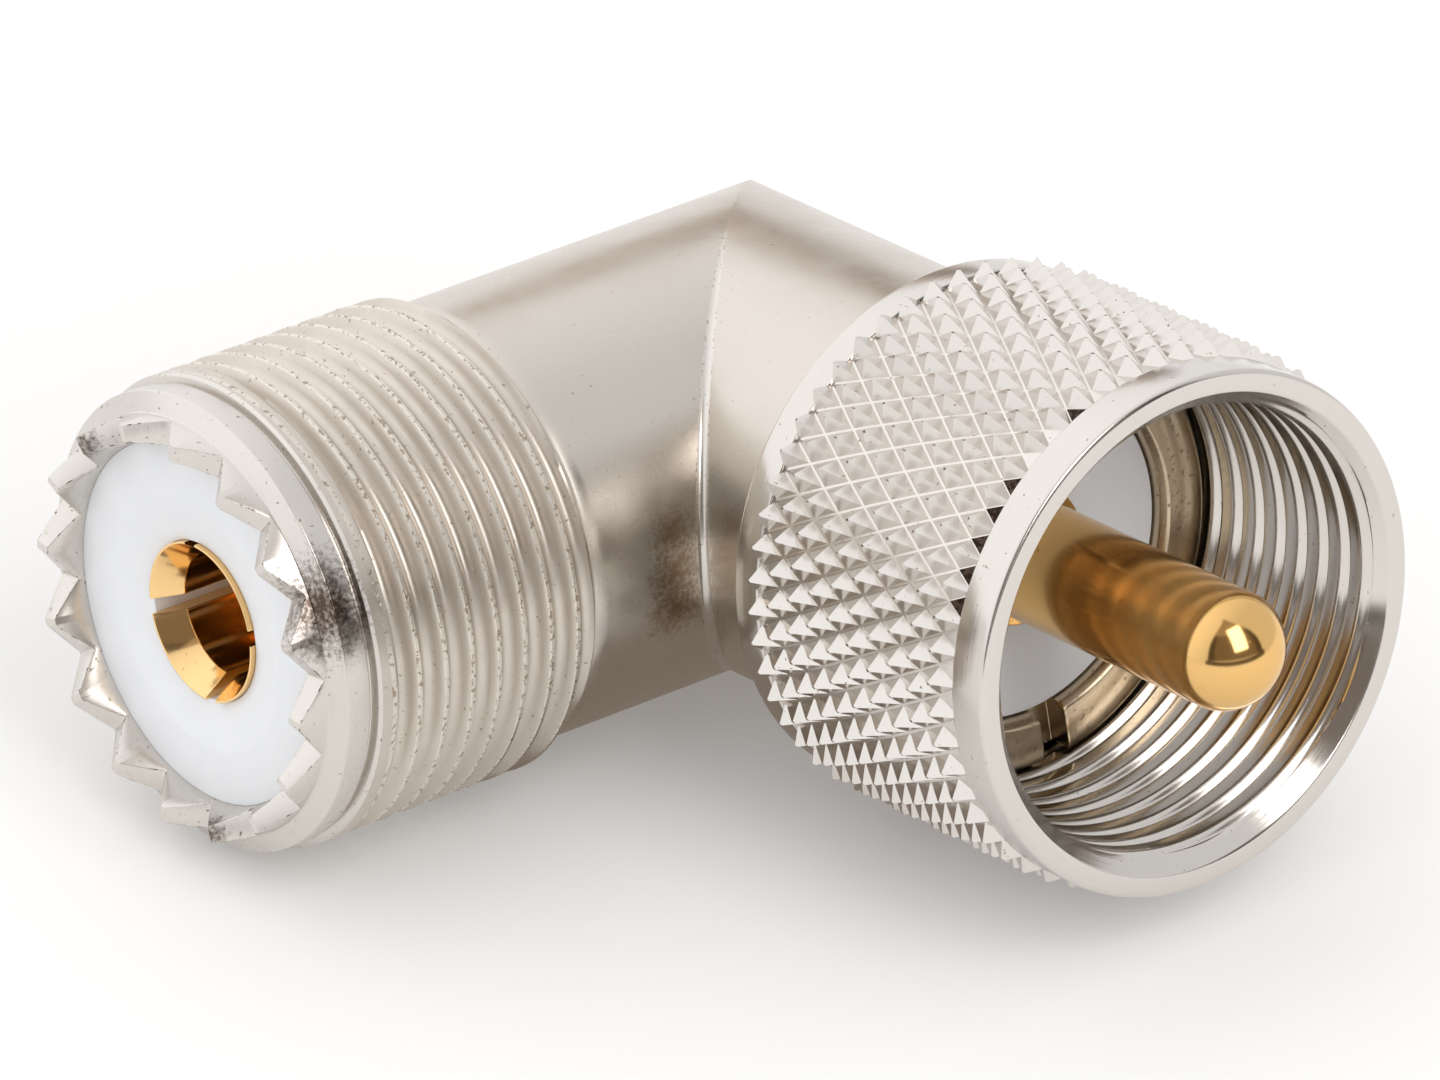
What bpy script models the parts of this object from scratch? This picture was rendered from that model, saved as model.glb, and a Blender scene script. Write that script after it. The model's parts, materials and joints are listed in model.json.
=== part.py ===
"""A right-angle coaxial adapter: a plug with a knurled coupling nut on one arm, a threaded socket on the other.

Lengths are in metres and +Z is up. The two arms are modelled about their own axes, which cross at the
elbow, and the whole adapter then lies as it comes to rest on a flat surface.
"""
import math

import bmesh
import bpy
from mathutils import Matrix, Vector

MM = 0.001

# Facets around a turned surface, and the gap that a seated or pressed piece keeps to its neighbour.
FACETS = 48
SEAT_GAP = 0.05 * MM

# Elbow: two plain tubes mitred at 45 degrees, with a small fillet in the inner crease.
ARM_RADIUS = 7.40 * MM
ARM_BORE_RADIUS = 4.60 * MM
CREASE_FILLET = 0.25 * MM
PLUG_ARM_LENGTH = 10.00 * MM

# Socket barrel: 5/8 inch, 24 threads to the inch, then a groove, a plain land and a bevelled rim of teeth.
THREAD_RADIUS = 7.94 * MM
THREAD_PITCH = 25.4 / 24 * MM
THREAD_DEPTH = 0.55 * MM
THREAD_CREST_WIDTH = 0.16 * MM
THREAD_ROOT_WIDTH = 0.30 * MM
THREAD_LENGTH = 9.00 * MM
THREAD_CHAMFER = 0.45 * MM
SOCKET_ARM_LENGTH = 11.90 * MM
GROOVE_WIDTH = 0.20 * MM
LAND_RADIUS = 7.72 * MM
LAND_LENGTH = 0.90 * MM
BEVEL_LENGTH = 1.43 * MM
RIM_OUTER_RADIUS = 6.89 * MM
RIM_INNER_RADIUS = 6.45 * MM
RIM_BORE_DEPTH = 1.06 * MM
TEETH = 16
TOOTH_DEPTH = 1.00 * MM
TOOTH_TIP_ANGLE = math.radians(2.2)
FIRST_TIP_ANGLE = math.radians(14.6)

# Socket insulator and its slotted contact, which screws into the pin through a stud.
SOCKET_INSULATOR_RADIUS = 6.04 * MM
SOCKET_INSULATOR_LENGTH = 9.10 * MM
SOCKET_INSULATOR_RECESS = 1.24 * MM
CONTACT_RADIUS = 2.80 * MM
CONTACT_LENGTH = 6.50 * MM
CONTACT_RECESS = 0.19 * MM
CONTACT_BORE_RADIUS = 2.05 * MM
CONTACT_BORE_DEPTH = 5.20 * MM
CONTACT_MOUTH_RADIUS = 2.62 * MM
CONTACT_MOUTH_DEPTH = 0.75 * MM
CONTACT_SLOT_WIDTH = 0.46 * MM
CONTACT_SLOT_DEPTH = 4.00 * MM
CONTACT_SLOT_ANGLE = math.radians(6.3)
SHANK_RADIUS = 1.50 * MM
STUD_RADIUS = 1.05 * MM
STUD_REACH = 1.20 * MM

# Plug shell: a sleeve set into the plug arm, whose front rim traps the nut and has two locating notches.
SHELL_SEAT_RADIUS = 6.20 * MM
SHELL_SEAT_DEPTH = 3.80 * MM
SHELL_WALL = 0.50 * MM
SHELL_SHOULDER = 0.45 * MM
SHELL_NECK_LENGTH = 3.40 * MM
SHELL_RIM_HEIGHT = 0.70 * MM
SHELL_RIM_LENGTH = 1.33 * MM
SHELL_RIM_CHAMFER = 0.15 * MM
SHELL_MOUTH_CHAMFER = 0.22 * MM
SHELL_MOUTH_DEPTH = 0.30 * MM
SHELL_STEP_HEIGHT = 0.65 * MM
SHELL_STEP_LENGTH = 0.80 * MM
NOTCH_WIDTH = 1.00 * MM
NOTCH_DEPTH = 0.90 * MM
NOTCH_ANGLE = math.radians(-83.5)

# Plug insulator and pin.
PLUG_INSULATOR_RECESS = 0.54 * MM
PIN_RADIUS = 1.98 * MM
PIN_REACH = 11.62 * MM
PIN_TIP_LENGTH = 1.60 * MM
PIN_COLLAR_RADIUS = 2.34 * MM
PIN_COLLAR_LENGTH = 0.35 * MM
PIN_TAIL = 2.60 * MM

# Coupling nut: a plain rear collar, a diamond knurl, a plain front ring and a rear flange behind the rim.
NUT_GAP = 0.17 * MM
NUT_WALL = 0.74 * MM
NUT_REAR_CHAMFER = 0.55 * MM
NUT_COLLAR_LENGTH = 1.65 * MM
NUT_RING_LENGTH = 0.93 * MM
NUT_EDGE_RADIUS = 0.16 * MM
NUT_FLANGE_LENGTH = 1.85 * MM
NUT_FLANGE_CLEARANCE = 0.09 * MM
NUT_RIM_CLEARANCE = 0.20 * MM
NUT_RELIEF_HEIGHT = 0.55 * MM
NUT_RELIEF_LENGTH = 2.75 * MM
NUT_MOUTH_CHAMFER = 0.70 * MM
NUT_MOUTH_DEPTH = 0.40 * MM
KNURL_RISE = 0.38 * MM
KNURL_HEIGHT = 0.55 * MM
KNURL_HALF_PITCH = 1.005 * MM
KNURL_COLUMNS = 10
KNURLS_AROUND = 52
KNURL_END = 0.10 * MM

# Radii of the shell and of the bush inside it, worked out from the seat in the arm.
SHELL_RADIUS = SHELL_SEAT_RADIUS - SEAT_GAP
SHELL_BORE_RADIUS = SHELL_RADIUS - SHELL_WALL
SHELL_NECK_RADIUS = SHELL_RADIUS + SHELL_SHOULDER
SHELL_RIM_RADIUS = SHELL_NECK_RADIUS + SHELL_RIM_HEIGHT
PLUG_INSULATOR_RADIUS = SHELL_BORE_RADIUS - SEAT_GAP

# Radii of the nut, which has to pass over the shell's rim: its bore at the crests of the thread, then outward.
NUT_BORE_RADIUS = SHELL_RIM_RADIUS + NUT_RIM_CLEARANCE
NUT_MOUTH_RADIUS = NUT_BORE_RADIUS + NUT_MOUTH_CHAMFER
NUT_RELIEF_RADIUS = NUT_BORE_RADIUS + NUT_RELIEF_HEIGHT
NUT_RADIUS = NUT_RELIEF_RADIUS + NUT_WALL
KNURL_CREST_RADIUS = NUT_RADIUS + KNURL_RISE
KNURL_VALLEY_RADIUS = KNURL_CREST_RADIUS - KNURL_HEIGHT

# Places along each arm, measured outward from the point where the two axes cross.
THREAD_END = SOCKET_ARM_LENGTH + THREAD_LENGTH
LAND_START = THREAD_END + GROOVE_WIDTH
BEVEL_START = LAND_START + LAND_LENGTH
RIM_FRONT = BEVEL_START + BEVEL_LENGTH
SOCKET_INSULATOR_FRONT = RIM_FRONT - SOCKET_INSULATOR_RECESS
SOCKET_INSULATOR_BACK = SOCKET_INSULATOR_FRONT - SOCKET_INSULATOR_LENGTH
CONTACT_FRONT = SOCKET_INSULATOR_FRONT - CONTACT_RECESS
CONTACT_BACK = CONTACT_FRONT - CONTACT_LENGTH
SHELL_BACK = PLUG_ARM_LENGTH - SHELL_SEAT_DEPTH
SHELL_NECK_BACK = PLUG_ARM_LENGTH + SEAT_GAP
SHELL_RIM_BACK = SHELL_NECK_BACK + SHELL_NECK_LENGTH
SHELL_FRONT = SHELL_RIM_BACK + SHELL_RIM_LENGTH
PLUG_INSULATOR_FRONT = SHELL_FRONT - PLUG_INSULATOR_RECESS
PLUG_INSULATOR_BACK = SHELL_BACK + SHELL_STEP_LENGTH
PIN_FRONT = SHELL_FRONT + PIN_REACH
NUT_BACK = PLUG_ARM_LENGTH + NUT_GAP
KNURL_BACK = NUT_BACK + NUT_COLLAR_LENGTH
KNURL_FRONT = KNURL_BACK + KNURL_COLUMNS * KNURL_HALF_PITCH
NUT_FRONT = KNURL_FRONT + NUT_RING_LENGTH

NICKEL = ("nickel_plate", (0.62, 0.57, 0.52), 0.28, 1.0)
GOLD = ("gold_plate", (0.83, 0.53, 0.20), 0.22, 1.0)
FLUOROPOLYMER = ("white_fluoropolymer", (0.80, 0.81, 0.83), 0.45, 0.0)


def clear_scene():
    """Remove whatever the file opened with."""
    for obj in list(bpy.data.objects):
        bpy.data.objects.remove(obj)


def material(recipe):
    """Return the Principled material of a recipe (name, colour, roughness, metallic), made once."""
    name, colour, roughness, metallic = recipe
    found = bpy.data.materials.get(name)
    if found:
        return found
    made = bpy.data.materials.new(name)
    made.use_nodes = True
    shader = made.node_tree.nodes["Principled BSDF"]
    shader.inputs["Base Color"].default_value = (*colour, 1.0)
    shader.inputs["Roughness"].default_value = roughness
    shader.inputs["Metallic"].default_value = metallic
    return made


def add_empty(name, parent=None, matrix=None):
    """Add an empty that carries the pieces of one axis."""
    empty = bpy.data.objects.new(name, None)
    bpy.context.collection.objects.link(empty)
    empty.parent = parent
    empty.matrix_local = matrix or Matrix.Identity(4)
    return empty


def add_object(name, bm, parent, recipe=None):
    """Turn a closed bmesh into an object; without a material recipe it is a hidden cutter or guide."""
    bmesh.ops.recalc_face_normals(bm, faces=bm.faces)
    mesh = bpy.data.meshes.new(name)
    bm.to_mesh(mesh)
    bm.free()
    obj = bpy.data.objects.new(name, mesh)
    bpy.context.collection.objects.link(obj)
    obj.parent = parent
    if recipe:
        mesh.materials.append(material(recipe))
        mesh.shade_smooth()
        mesh.set_sharp_from_angle(angle=math.radians(30))
    else:
        obj.hide_render = True
        obj.display_type = "WIRE"
    return obj


def combine(obj, other, operation):
    """Add a Boolean modifier that joins or cuts with another object."""
    modifier = obj.modifiers.new(other.name, "BOOLEAN")
    modifier.operation = operation
    modifier.object = other


def loft(bm, rings, closed=False):
    """Join consecutive rings of vertices with quads, and cap the two ends or close the row of rings."""
    pairs = list(zip(rings, rings[1:]))
    if closed:
        pairs.append((rings[-1], rings[0]))
    for lower, upper in pairs:
        for i in range(len(lower)):
            j = (i + 1) % len(lower)
            bm.faces.new((lower[i], lower[j], upper[j], upper[i]))
    if not closed:
        bm.faces.new(rings[0])
        bm.faces.new(rings[-1])


def circle(bm, radius, along, facets=FACETS):
    """Add a ring of vertices about local Z."""
    ring = []
    for i in range(facets):
        angle = math.tau * i / facets
        ring.append(bm.verts.new((radius * math.cos(angle), radius * math.sin(angle), along)))
    return ring


def turned(outline, hollow=False):
    """Turn an outline of (along, radius) points about local Z, solid or as a ring with a bore."""
    bm = bmesh.new()
    loft(bm, [circle(bm, radius, along) for along, radius in outline], closed=hollow)
    return bm


def box(size, centre, angle=0.0):
    """A box about a centre, turned about local Z."""
    bm = bmesh.new()
    turn = Matrix.Rotation(angle, 4, "Z")
    bmesh.ops.create_cube(bm, size=1.0, matrix=turn @ Matrix.Translation(centre) @ Matrix.Diagonal((*size, 1.0)))
    return bm


def mitred_tube(radius, plug_length, socket_length, fillet):
    """Two round bars along +X and -Y that meet in a 45 degree mitre, with a fillet in the inner crease."""
    bm = bmesh.new()
    socket_end, socket_mitre, plug_mitre, plug_end = [], [], [], []
    for i in range(FACETS):
        angle = math.tau * i / FACETS
        side = radius * math.cos(angle)
        height = radius * math.sin(angle)
        ease = fillet * max(0.0, math.cos(angle))
        socket_end.append(bm.verts.new((side, -socket_length, height)))
        socket_mitre.append(bm.verts.new((side, -side - ease, height)))
        plug_mitre.append(bm.verts.new((side + ease, -side, height)))
        plug_end.append(bm.verts.new((plug_length, -side, height)))
    loft(bm, [socket_end, socket_mitre, plug_mitre, plug_end])
    bmesh.ops.remove_doubles(bm, verts=bm.verts, dist=0.001 * MM)
    return bm


def threaded_bar(radius, depth, pitch, start, end):
    """A right-hand helical thread as one closed bar, longer than start to end by a turn at each side."""
    flank = (pitch - THREAD_CREST_WIDTH - THREAD_ROOT_WIDTH) / 2
    profile = (
        (0.0, radius - depth),
        (THREAD_ROOT_WIDTH, radius - depth),
        (THREAD_ROOT_WIDTH + flank, radius),
        (THREAD_ROOT_WIDTH + flank + THREAD_CREST_WIDTH, radius),
    )
    turns = math.ceil((end - start) / pitch) + 2
    steps = len(profile)
    bm = bmesh.new()
    columns = []
    for i in range(FACETS):
        angle = math.tau * i / FACETS
        column = []
        for row in range(steps * (turns + (i == 0))):
            rise, reach = profile[row % steps]
            along = start + pitch * (row // steps + i / FACETS - 1) + rise
            column.append(bm.verts.new((reach * math.cos(angle), reach * math.sin(angle), along)))
        columns.append(column)
    wrapped = columns[1:] + [columns[0][steps:]]
    for near, far in zip(columns, wrapped):
        for row in range(steps * turns - 1):
            bm.faces.new((near[row], far[row], far[row + 1], near[row + 1]))
    low_edge = [column[0] for column in columns] + columns[0][steps:0:-1]
    top = steps * turns - 1
    high_edge = [column[top] for column in columns] + columns[0][top + steps:top:-1]
    for edge, centre in ((low_edge, start - pitch / 2), (high_edge, start + (turns - 0.5) * pitch)):
        hub = bm.verts.new((0.0, 0.0, centre))
        for first, second in zip(edge, edge[1:] + edge[:1]):
            bm.faces.new((first, second, hub))
    return bm


def tooth_notches():
    """Wedges about local Z that cut the V notches between the rim's teeth."""
    bm = bmesh.new()
    pitch_angle = math.tau / TEETH
    opening = (pitch_angle - TOOTH_TIP_ANGLE) / 2
    overshoot = 0.04 * TOOTH_DEPTH
    inner = SOCKET_INSULATOR_RADIUS * 0.97
    outer = THREAD_RADIUS * 1.05
    for tooth in range(TEETH):
        middle = FIRST_TIP_ANGLE + (tooth + 0.5) * pitch_angle
        spread = opening * (TOOTH_DEPTH + overshoot) / TOOTH_DEPTH
        ends = []
        for radius in (inner, outer):
            corners = ((0.0, -TOOTH_DEPTH), (spread, overshoot), (-spread, overshoot))
            ends.append([
                bm.verts.new((
                    radius * math.cos(middle + turn),
                    radius * math.sin(middle + turn),
                    RIM_FRONT + rise,
                ))
                for turn, rise in corners
            ])
        loft(bm, ends)
    return bm


def knurled_bar():
    """The nut's outside as a solid bar about local Z, with a lattice of four-sided pyramids."""
    bm = bmesh.new()
    around = 2 * KNURLS_AROUND

    def plain(radius, along):
        return circle(bm, radius, along, around)

    def knurled(column):
        ring = []
        for i in range(around):
            angle = math.tau * i / around
            radius = KNURL_CREST_RADIUS if (i + column) % 2 == 0 else KNURL_VALLEY_RADIUS
            along = KNURL_BACK + column * KNURL_HALF_PITCH
            ring.append(bm.verts.new((radius * math.cos(angle), radius * math.sin(angle), along)))
        return ring

    pattern = [knurled(column) for column in range(KNURL_COLUMNS + 1)]
    for column, (lower, upper) in enumerate(zip(pattern, pattern[1:])):
        for i in range(around):
            j = (i + 1) % around
            if (i + column) % 2 == 0:
                halves = ((lower[i], lower[j], upper[i]), (lower[j], upper[j], upper[i]))
            else:
                halves = ((lower[i], lower[j], upper[j]), (lower[i], upper[j], upper[i]))
            for corners in halves:
                bm.faces.new(corners)
    rear = [
        plain(NUT_RADIUS - NUT_REAR_CHAMFER, NUT_BACK),
        plain(NUT_RADIUS, NUT_BACK + NUT_REAR_CHAMFER),
        plain(NUT_RADIUS, KNURL_BACK - KNURL_END),
        pattern[0],
    ]
    front = [
        pattern[-1],
        plain(NUT_RADIUS, KNURL_FRONT + KNURL_END),
        plain(NUT_RADIUS, NUT_FRONT - NUT_EDGE_RADIUS),
        plain(NUT_RADIUS - 0.3 * NUT_EDGE_RADIUS, NUT_FRONT - 0.3 * NUT_EDGE_RADIUS),
        plain(NUT_RADIUS - NUT_EDGE_RADIUS, NUT_FRONT),
    ]
    for rings in (rear, front):
        for lower, upper in zip(rings, rings[1:]):
            for i in range(around):
                j = (i + 1) % around
                bm.faces.new((lower[i], lower[j], upper[j], upper[i]))
    bm.faces.new(rear[0])
    bm.faces.new(front[-1])
    return bm


def build_elbow(root, socket_axis, plug_axis):
    """The one-piece body: mitred elbow, threaded barrel and toothed rim, bored right through."""
    overlap = THREAD_CHAMFER + THREAD_PITCH / 2
    body = add_object(
        "elbow_body",
        mitred_tube(ARM_RADIUS, PLUG_ARM_LENGTH, SOCKET_ARM_LENGTH + overlap, CREASE_FILLET),
        root,
        NICKEL,
    )
    root_radius = THREAD_RADIUS - THREAD_DEPTH
    thread = add_object(
        "thread_helix",
        threaded_bar(THREAD_RADIUS, THREAD_DEPTH, THREAD_PITCH, SOCKET_ARM_LENGTH, THREAD_END),
        socket_axis,
    )
    envelope = add_object(
        "thread_envelope",
        turned((
            (SOCKET_ARM_LENGTH, root_radius),
            (SOCKET_ARM_LENGTH + THREAD_CHAMFER, THREAD_RADIUS + SEAT_GAP),
            (THREAD_END, THREAD_RADIUS + SEAT_GAP),
        )),
        socket_axis,
    )
    rim = add_object(
        "rim_blank",
        turned((
            (THREAD_END - THREAD_PITCH, root_radius - SEAT_GAP),
            (LAND_START, root_radius - SEAT_GAP),
            (LAND_START + GROOVE_WIDTH / 2, LAND_RADIUS),
            (BEVEL_START, LAND_RADIUS),
            (RIM_FRONT, RIM_OUTER_RADIUS),
        )),
        socket_axis,
    )
    seat = SOCKET_INSULATOR_BACK - SEAT_GAP
    socket_bore = add_object(
        "socket_bore",
        turned((
            (seat, SOCKET_INSULATOR_RADIUS + SEAT_GAP),
            (SOCKET_INSULATOR_FRONT, SOCKET_INSULATOR_RADIUS + SEAT_GAP),
            (RIM_FRONT - RIM_BORE_DEPTH, RIM_INNER_RADIUS),
            (RIM_FRONT + TOOTH_DEPTH, RIM_INNER_RADIUS),
        )),
        socket_axis,
    )
    plug_bore = add_object(
        "plug_bore",
        turned((
            (SHELL_BACK - SEAT_GAP, SHELL_SEAT_RADIUS),
            (PLUG_ARM_LENGTH + SHELL_SEAT_DEPTH, SHELL_SEAT_RADIUS),
        )),
        plug_axis,
    )
    corner_bore = add_object(
        "corner_bore",
        mitred_tube(ARM_BORE_RADIUS, PLUG_ARM_LENGTH - SEAT_GAP, SOCKET_INSULATOR_FRONT, 0.0),
        root,
    )
    notches = add_object("tooth_notches", tooth_notches(), socket_axis)
    combine(thread, envelope, "INTERSECT")
    combine(body, thread, "UNION")
    combine(body, rim, "UNION")
    combine(body, socket_bore, "DIFFERENCE")
    combine(body, plug_bore, "DIFFERENCE")
    combine(body, corner_bore, "DIFFERENCE")
    combine(body, notches, "DIFFERENCE")
    return body


def build_socket_fittings(socket_axis):
    """The socket's white bush and its slotted contact, whose stud reaches through the pin."""
    bush_bore = CONTACT_RADIUS + SEAT_GAP
    shank_bore = SHANK_RADIUS + SEAT_GAP
    step = CONTACT_BACK - SEAT_GAP
    add_object(
        "socket_insulator",
        turned((
            (SOCKET_INSULATOR_BACK, SOCKET_INSULATOR_RADIUS),
            (SOCKET_INSULATOR_FRONT, SOCKET_INSULATOR_RADIUS),
            (SOCKET_INSULATOR_FRONT, bush_bore),
            (step, bush_bore),
            (step, shank_bore),
            (SOCKET_INSULATOR_BACK, shank_bore),
        ), hollow=True),
        socket_axis,
        FLUOROPOLYMER,
    )
    contact = add_object(
        "socket_contact",
        turned((
            (-STUD_REACH, STUD_RADIUS),
            (PIN_RADIUS + SEAT_GAP, STUD_RADIUS),
            (PIN_RADIUS + SEAT_GAP, SHANK_RADIUS),
            (CONTACT_BACK, SHANK_RADIUS),
            (CONTACT_BACK, CONTACT_RADIUS),
            (CONTACT_FRONT, CONTACT_RADIUS),
            (CONTACT_FRONT, CONTACT_MOUTH_RADIUS),
            (CONTACT_FRONT - CONTACT_MOUTH_DEPTH, CONTACT_BORE_RADIUS),
            (CONTACT_FRONT - CONTACT_BORE_DEPTH, CONTACT_BORE_RADIUS),
        )),
        socket_axis,
        GOLD,
    )
    for number, quarter in enumerate((0.0, math.pi / 2)):
        slot = add_object(
            f"contact_slot_{number}",
            box(
                (3 * CONTACT_RADIUS, CONTACT_SLOT_WIDTH, 2 * CONTACT_SLOT_DEPTH),
                (0.0, 0.0, CONTACT_FRONT),
                CONTACT_SLOT_ANGLE + quarter,
            ),
            socket_axis,
        )
        combine(contact, slot, "DIFFERENCE")


def build_plug_fittings(plug_axis, socket_axis):
    """The plug's notched shell, its white bush, and the pin with a cross hole for the contact's stud."""
    shell = add_object(
        "plug_shell",
        turned((
            (SHELL_BACK, SHELL_RADIUS),
            (SHELL_NECK_BACK, SHELL_RADIUS),
            (SHELL_NECK_BACK, SHELL_NECK_RADIUS),
            (SHELL_RIM_BACK, SHELL_NECK_RADIUS),
            (SHELL_RIM_BACK, SHELL_RIM_RADIUS),
            (SHELL_FRONT - SHELL_RIM_CHAMFER, SHELL_RIM_RADIUS),
            (SHELL_FRONT, SHELL_RIM_RADIUS - SHELL_RIM_CHAMFER),
            (SHELL_FRONT, SHELL_BORE_RADIUS + SHELL_MOUTH_CHAMFER),
            (SHELL_FRONT - SHELL_MOUTH_DEPTH, SHELL_BORE_RADIUS),
            (PLUG_INSULATOR_BACK - SEAT_GAP, SHELL_BORE_RADIUS),
            (PLUG_INSULATOR_BACK - SEAT_GAP, SHELL_BORE_RADIUS - SHELL_STEP_HEIGHT),
            (SHELL_BACK, SHELL_BORE_RADIUS - SHELL_STEP_HEIGHT),
        ), hollow=True),
        plug_axis,
        NICKEL,
    )
    notch = add_object(
        "shell_notch",
        box((3 * SHELL_RIM_RADIUS, NOTCH_WIDTH, 2 * NOTCH_DEPTH), (0.0, 0.0, SHELL_FRONT), NOTCH_ANGLE),
        plug_axis,
    )
    combine(shell, notch, "DIFFERENCE")
    add_object(
        "plug_insulator",
        turned((
            (PLUG_INSULATOR_BACK, PLUG_INSULATOR_RADIUS),
            (PLUG_INSULATOR_FRONT, PLUG_INSULATOR_RADIUS),
            (PLUG_INSULATOR_FRONT, PIN_RADIUS + SEAT_GAP),
            (PLUG_INSULATOR_BACK, PIN_RADIUS + SEAT_GAP),
        ), hollow=True),
        plug_axis,
        FLUOROPOLYMER,
    )
    collar_back = PLUG_INSULATOR_FRONT + SEAT_GAP
    dome = []
    for step in range(1, 5):
        sweep = math.radians(20 * step)
        along = PIN_FRONT - PIN_TIP_LENGTH + PIN_TIP_LENGTH * math.sin(sweep)
        dome.append((along, PIN_RADIUS * math.cos(sweep)))
    pin = add_object(
        "plug_pin",
        turned((
            (-PIN_TAIL, PIN_RADIUS),
            (collar_back, PIN_RADIUS),
            (collar_back, PIN_COLLAR_RADIUS),
            (collar_back + PIN_COLLAR_LENGTH, PIN_COLLAR_RADIUS),
            (collar_back + PIN_COLLAR_LENGTH, PIN_RADIUS),
            (PIN_FRONT - PIN_TIP_LENGTH, PIN_RADIUS),
            *dome,
        )),
        plug_axis,
        GOLD,
    )
    cross_hole = add_object(
        "stud_hole",
        turned((
            (-2 * PIN_RADIUS, STUD_RADIUS + SEAT_GAP),
            (2 * PIN_RADIUS, STUD_RADIUS + SEAT_GAP),
        )),
        socket_axis,
    )
    combine(pin, cross_hole, "DIFFERENCE")


def build_nut(plug_axis):
    """The coupling nut, which turns freely on the shell's neck, held between the arm and the rim."""
    nut = add_object("coupling_nut", knurled_bar(), plug_axis, NICKEL)
    flange_front = NUT_BACK + NUT_FLANGE_LENGTH
    thread_back = flange_front + NUT_RELIEF_LENGTH
    flange_bore = SHELL_NECK_RADIUS + NUT_FLANGE_CLEARANCE
    bore = add_object(
        "nut_bore",
        turned((
            (NUT_BACK - NUT_RING_LENGTH, flange_bore),
            (flange_front, flange_bore),
            (flange_front, NUT_RELIEF_RADIUS),
            (thread_back, NUT_RELIEF_RADIUS),
            (thread_back, NUT_BORE_RADIUS),
            (NUT_FRONT - NUT_MOUTH_DEPTH, NUT_BORE_RADIUS),
            (NUT_FRONT, NUT_MOUTH_RADIUS),
            (NUT_FRONT + NUT_RING_LENGTH, NUT_MOUTH_RADIUS),
        )),
        plug_axis,
    )
    combine(nut, bore, "DIFFERENCE")


def lowest_points(up):
    """Heights of the three things the adapter can rest on, for an up direction in the elbow's frame."""
    def of_circle(centre, axis, radius):
        return centre.dot(up) - radius * math.sqrt(1 - axis.dot(up) ** 2)

    plug = Vector((1, 0, 0))
    socket = Vector((0, -1, 0))
    mitre = Vector((1, -1, 0))
    nut_edge = of_circle(KNURL_BACK * plug, plug, KNURL_CREST_RADIUS)
    thread_ends = (SOCKET_ARM_LENGTH + THREAD_CHAMFER, THREAD_END)
    thread_edge = min(of_circle(end * socket, socket, THREAD_RADIUS) for end in thread_ends)
    elbow = -ARM_RADIUS * math.hypot(mitre.dot(up), up.z)
    return nut_edge, thread_edge, elbow


def resting_turn():
    """Rotation that lays the nut, the thread and the elbow on one level, found by Newton's method."""
    lean = [0.0, 0.0]
    nudge = 1e-5

    def misfit(values):
        up = Vector((values[0], values[1], 1.0)).normalized()
        nut_edge, thread_edge, elbow = lowest_points(up)
        return nut_edge - elbow, thread_edge - elbow

    for _ in range(20):
        here = misfit(lean)
        along_x = misfit((lean[0] + nudge, lean[1]))
        along_y = misfit((lean[0], lean[1] + nudge))
        slopes = Matrix((
            ((along_x[0] - here[0]) / nudge, (along_y[0] - here[0]) / nudge),
            ((along_x[1] - here[1]) / nudge, (along_y[1] - here[1]) / nudge),
        ))
        step = slopes.inverted() @ Vector(here)
        lean = [lean[0] - step.x, lean[1] - step.y]
    up = Vector((lean[0], lean[1], 1.0)).normalized()
    ahead = (Vector((1, 0, 0)) - up.x * up).normalized()
    return Matrix((ahead, up.cross(ahead), up)).to_4x4()


def set_down(root):
    """Move the adapter so that its box stands on z = 0 with the origin at the middle of its base."""
    bpy.context.view_layer.update()
    depsgraph = bpy.context.evaluated_depsgraph_get()
    corners = []
    for obj in bpy.data.objects:
        if obj.type == "MESH" and not obj.hide_render:
            solid = obj.evaluated_get(depsgraph)
            corners += [solid.matrix_world @ vertex.co for vertex in solid.data.vertices]
    low = Vector(min(corner[axis] for corner in corners) for axis in range(3))
    high = Vector(max(corner[axis] for corner in corners) for axis in range(3))
    middle = (low + high) / 2
    root.location = (-middle.x, -middle.y, -low.z)


def main():
    clear_scene()
    root = add_empty("adapter", matrix=resting_turn())
    plug_axis = add_empty("plug_axis", root, Matrix(((0, 0, 1), (1, 0, 0), (0, 1, 0))).to_4x4())
    socket_axis = add_empty("socket_axis", root, Matrix(((1, 0, 0), (0, 0, -1), (0, 1, 0))).to_4x4())
    build_elbow(root, socket_axis, plug_axis)
    build_socket_fittings(socket_axis)
    build_plug_fittings(plug_axis, socket_axis)
    build_nut(plug_axis)
    set_down(root)


main()
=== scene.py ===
"""The looks of the right-angle coaxial adapter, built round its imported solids.

Each piece is modelled in millimetres about the axis that it is turned on, then placed in the model's frame.
"""
import json
import math

import bmesh
import bpy
from mathutils import Matrix, Vector


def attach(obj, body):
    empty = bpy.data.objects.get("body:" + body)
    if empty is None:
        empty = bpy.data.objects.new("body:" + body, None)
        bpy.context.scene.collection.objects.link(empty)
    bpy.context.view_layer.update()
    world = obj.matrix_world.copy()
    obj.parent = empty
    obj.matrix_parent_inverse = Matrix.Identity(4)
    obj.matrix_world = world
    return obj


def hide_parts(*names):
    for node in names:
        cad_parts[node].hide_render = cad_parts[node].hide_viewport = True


MM = 0.001
TURN = math.tau

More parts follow.
